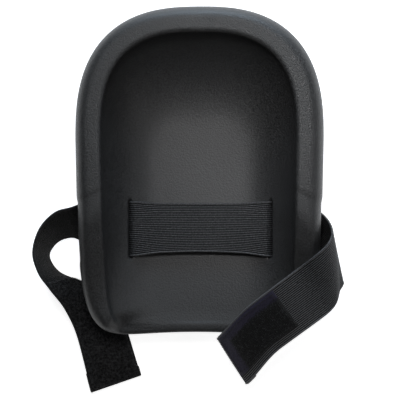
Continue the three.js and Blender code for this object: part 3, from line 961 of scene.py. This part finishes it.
def build_left_strap(thread):
    """The left strap from its slot to its end. Two pieces lie across its two joints."""
    left = Left()
    # painted shade: the left strap's copy has much darker crests, painted for the shade it lies in
    elastic = elastic_material("left_elastic", painted_light_scale=0.45)
    left_root = strap_piece(
        "webbing_left_root", left, constant(0), constant(ROOT_END), elastic, ["strap_left_exit"])
    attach(left_root, "pad")

    left_swing = strap_piece(
        "webbing_left_swing", left, constant(ROOT_END), constant(BEND_PIECE), elastic,
        ["strap_left_lead"])
    place(left, LEFT_SWING - 9)
    place(left, LEFT_SWING + 10)
    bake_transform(left_swing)

    left_turn = strap_piece(
        "webbing_left_turn", left, constant(BEND_PIECE), constant(TAIL_PIECE), elastic)
    place(left, LEFT_BEND - 14)
    place(left, LEFT_BEND + 15)
    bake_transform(left_turn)
    build_left_tail(left, elastic, thread)


def build_right_tip(right, elastic, thread):
    """The taped end of the right tail: webbing, hook tape with its hooks, seam and hem."""
    right_tip = strap_piece(
        "webbing_right_tip", right, constant(HOOK_START), constant(right.length), elastic,
        ["strap_right_tip"])
    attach(right_tip, "right_tip")

    hook_end = right.length - TAPE_SETBACK
    hook_ground = dress(
        tape_ground("hook_tape_ground", right, HOOK_START, hook_end, HOOK_SIDE, roughness=0.12),
        hook_material(), ["hook_tape"])
    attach(hook_ground, "right_tip")
    hooks = dress(
        hook_field("hook_tape_hooks", right, HOOK_START, hook_end), nylon_material())
    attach(hooks, "right_tip")
    hook_stitches = dress(
        stitching("hook_tape_stitches", right, HOOK_START, hook_end, HOOK_SIDE),
        thread, ["hook_tape_stitching"])
    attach(hook_stitches, "right_tip")
    right_hem = dress(hem("right_hem", right, right.length), elastic, ["right_end_hem"])
    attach(right_hem, "right_tip")


def build_right_strap(thread):
    """The right strap from its slot to its end. Two pieces lie across its two joints."""
    right = Right()
    # painted light: the right strap's copy has its crests painted for the light on it, and painted
    # brighter between 96 and 116 mm along it as a painted highlight
    elastic = elastic_material("right_elastic", painted_light_scale=0.85, painted_highlight_span=(96, 116))
    right_root = strap_piece(
        "webbing_right_root", right, constant(0), right.on_ruling(FOLD_FROM), elastic,
        ["strap_right_lead"])
    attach(right_root, "pad")

    right_fold = strap_piece(
        "webbing_right_fold", right, right.on_ruling(FOLD_FROM), right.on_ruling(FOLD_TO), elastic)
    fold_start, fold_end = (place(right, right.on_ruling(FOLD_AT + d)(0.0)) for d in (-14, 15))
    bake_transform(right_fold)

    right_over = strap_piece(
        "webbing_right_over", right, right.on_ruling(FOLD_TO), constant(TIP_PIECE), elastic,
        ["strap_right_fold"])
    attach(right_over, "right_fold")

    right_bend = strap_piece(
        "webbing_right_bend", right, constant(TIP_PIECE), constant(HOOK_START), elastic)
    place(right, TIP_START - 8)
    place(right, HOOK_START - 0.5)
    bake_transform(right_bend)
    build_right_tip(right, elastic, thread)


# ---------------------------------------------------------------- studio


def studio_floor(reach=3.0):
    """A plain pale floor at z = 0."""
    corners = [(-reach, -reach, 0), (reach, -reach, 0), (reach, reach, 0), (-reach, reach, 0)]
    mesh = bpy.data.meshes.new("studio_floor")
    mesh.from_pydata(corners, [], [(0, 1, 2, 3)])
    floor = bpy.data.objects.new("studio_floor", mesh)
    bpy.context.scene.collection.objects.link(floor)
    floor.data.materials.append(floor_material())


def point_at(name, light, place_at, aim):
    """Places a light so that it shines at aim."""
    obj = bpy.data.objects.new(name, light)
    obj.location = place_at
    obj.rotation_euler = (Vector(aim) - Vector(place_at)).to_track_quat("-Z", "Y").to_euler()
    bpy.context.scene.collection.objects.link(obj)


def area_light(name, place_at, aim, size, power, colour=(1, 1, 1), gloss=1.0):
    """A round light. gloss scales how bright it looks in reflections."""
    light = bpy.data.lights.new(name, "AREA")
    light.shape = "DISK"
    light.size = size
    light.energy = power
    light.color = colour
    light.specular_factor = gloss
    point_at(name, light, place_at, aim)


def soft_spot(name, place_at, aim, pool_radius, size, power):
    """A spotlight whose pool of light has the given radius and fades from its very middle."""
    light = bpy.data.lights.new(name, "SPOT")
    reach = (Vector(aim) - Vector(place_at)).length
    light.spot_size = 2 * math.atan2(pool_radius, reach)
    light.spot_blend = 1.0
    light.shadow_soft_size = size
    light.energy = power
    point_at(name, light, place_at, aim)


def camera():
    """Looks straight down into the cup from just beside its middle line, with +Y up the picture."""
    rim_distance, frame_width, sensor = 0.9, 0.2816, 36
    aim = Vector((0.0014, -0.0197, RIM_HEIGHT * MM))
    data = bpy.data.cameras.new("camera")
    data.sensor_width = sensor
    data.lens = sensor * rim_distance / frame_width
    obj = bpy.data.objects.new("camera", data)
    obj.location = Vector((0.045, aim.y, aim.z + rim_distance))
    obj.rotation_euler = (0, math.atan2(obj.location.x - aim.x, rim_distance), 0)
    bpy.context.scene.collection.objects.link(obj)
    bpy.context.scene.camera = obj


def world():
    """A white backdrop where the camera sees it, which hardly lights the object."""
    scene_world = bpy.data.worlds.new("studio")
    scene_world.use_nodes = True
    tree = scene_world.node_tree
    background = tree.nodes["Background"]
    background.inputs["Color"].default_value = (1, 1, 1, 1)
    strength = tree.nodes.new("ShaderNodeMapRange")
    strength.inputs["To Min"].default_value = 0.08
    strength.inputs["To Max"].default_value = 1.0
    seen = tree.nodes.new("ShaderNodeLightPath")
    tree.links.new(seen.outputs["Is Camera Ray"], strength.inputs["Value"])
    tree.links.new(strength.outputs["Result"], background.inputs["Strength"])
    bpy.context.scene.world = scene_world
    bpy.context.scene.view_settings.view_transform = "Standard"


foam_pad = build_pad()
build_bridge()
seam_thread = thread_material()
build_left_strap(seam_thread)
build_right_strap(seam_thread)

studio_floor()
area_light("key", (0.04, 0.40, 1.2), (0, 0, 0.02), size=0.4, power=4.4)
area_light(
    "window", (0.05, 1.1, 0.42), (0, 0, 0.02), size=0.7, power=14, colour=(0.72, 0.86, 1.0), gloss=0.5)
area_light("fill", (0.75, -0.1, 0.7), (0, 0, 0.03), size=0.5, power=1.2)
soft_spot("glow", (-0.09, 0.40, 1.2), (0.029, 0.024, 0.02), pool_radius=0.066, size=0.08, power=88)
camera()
world()
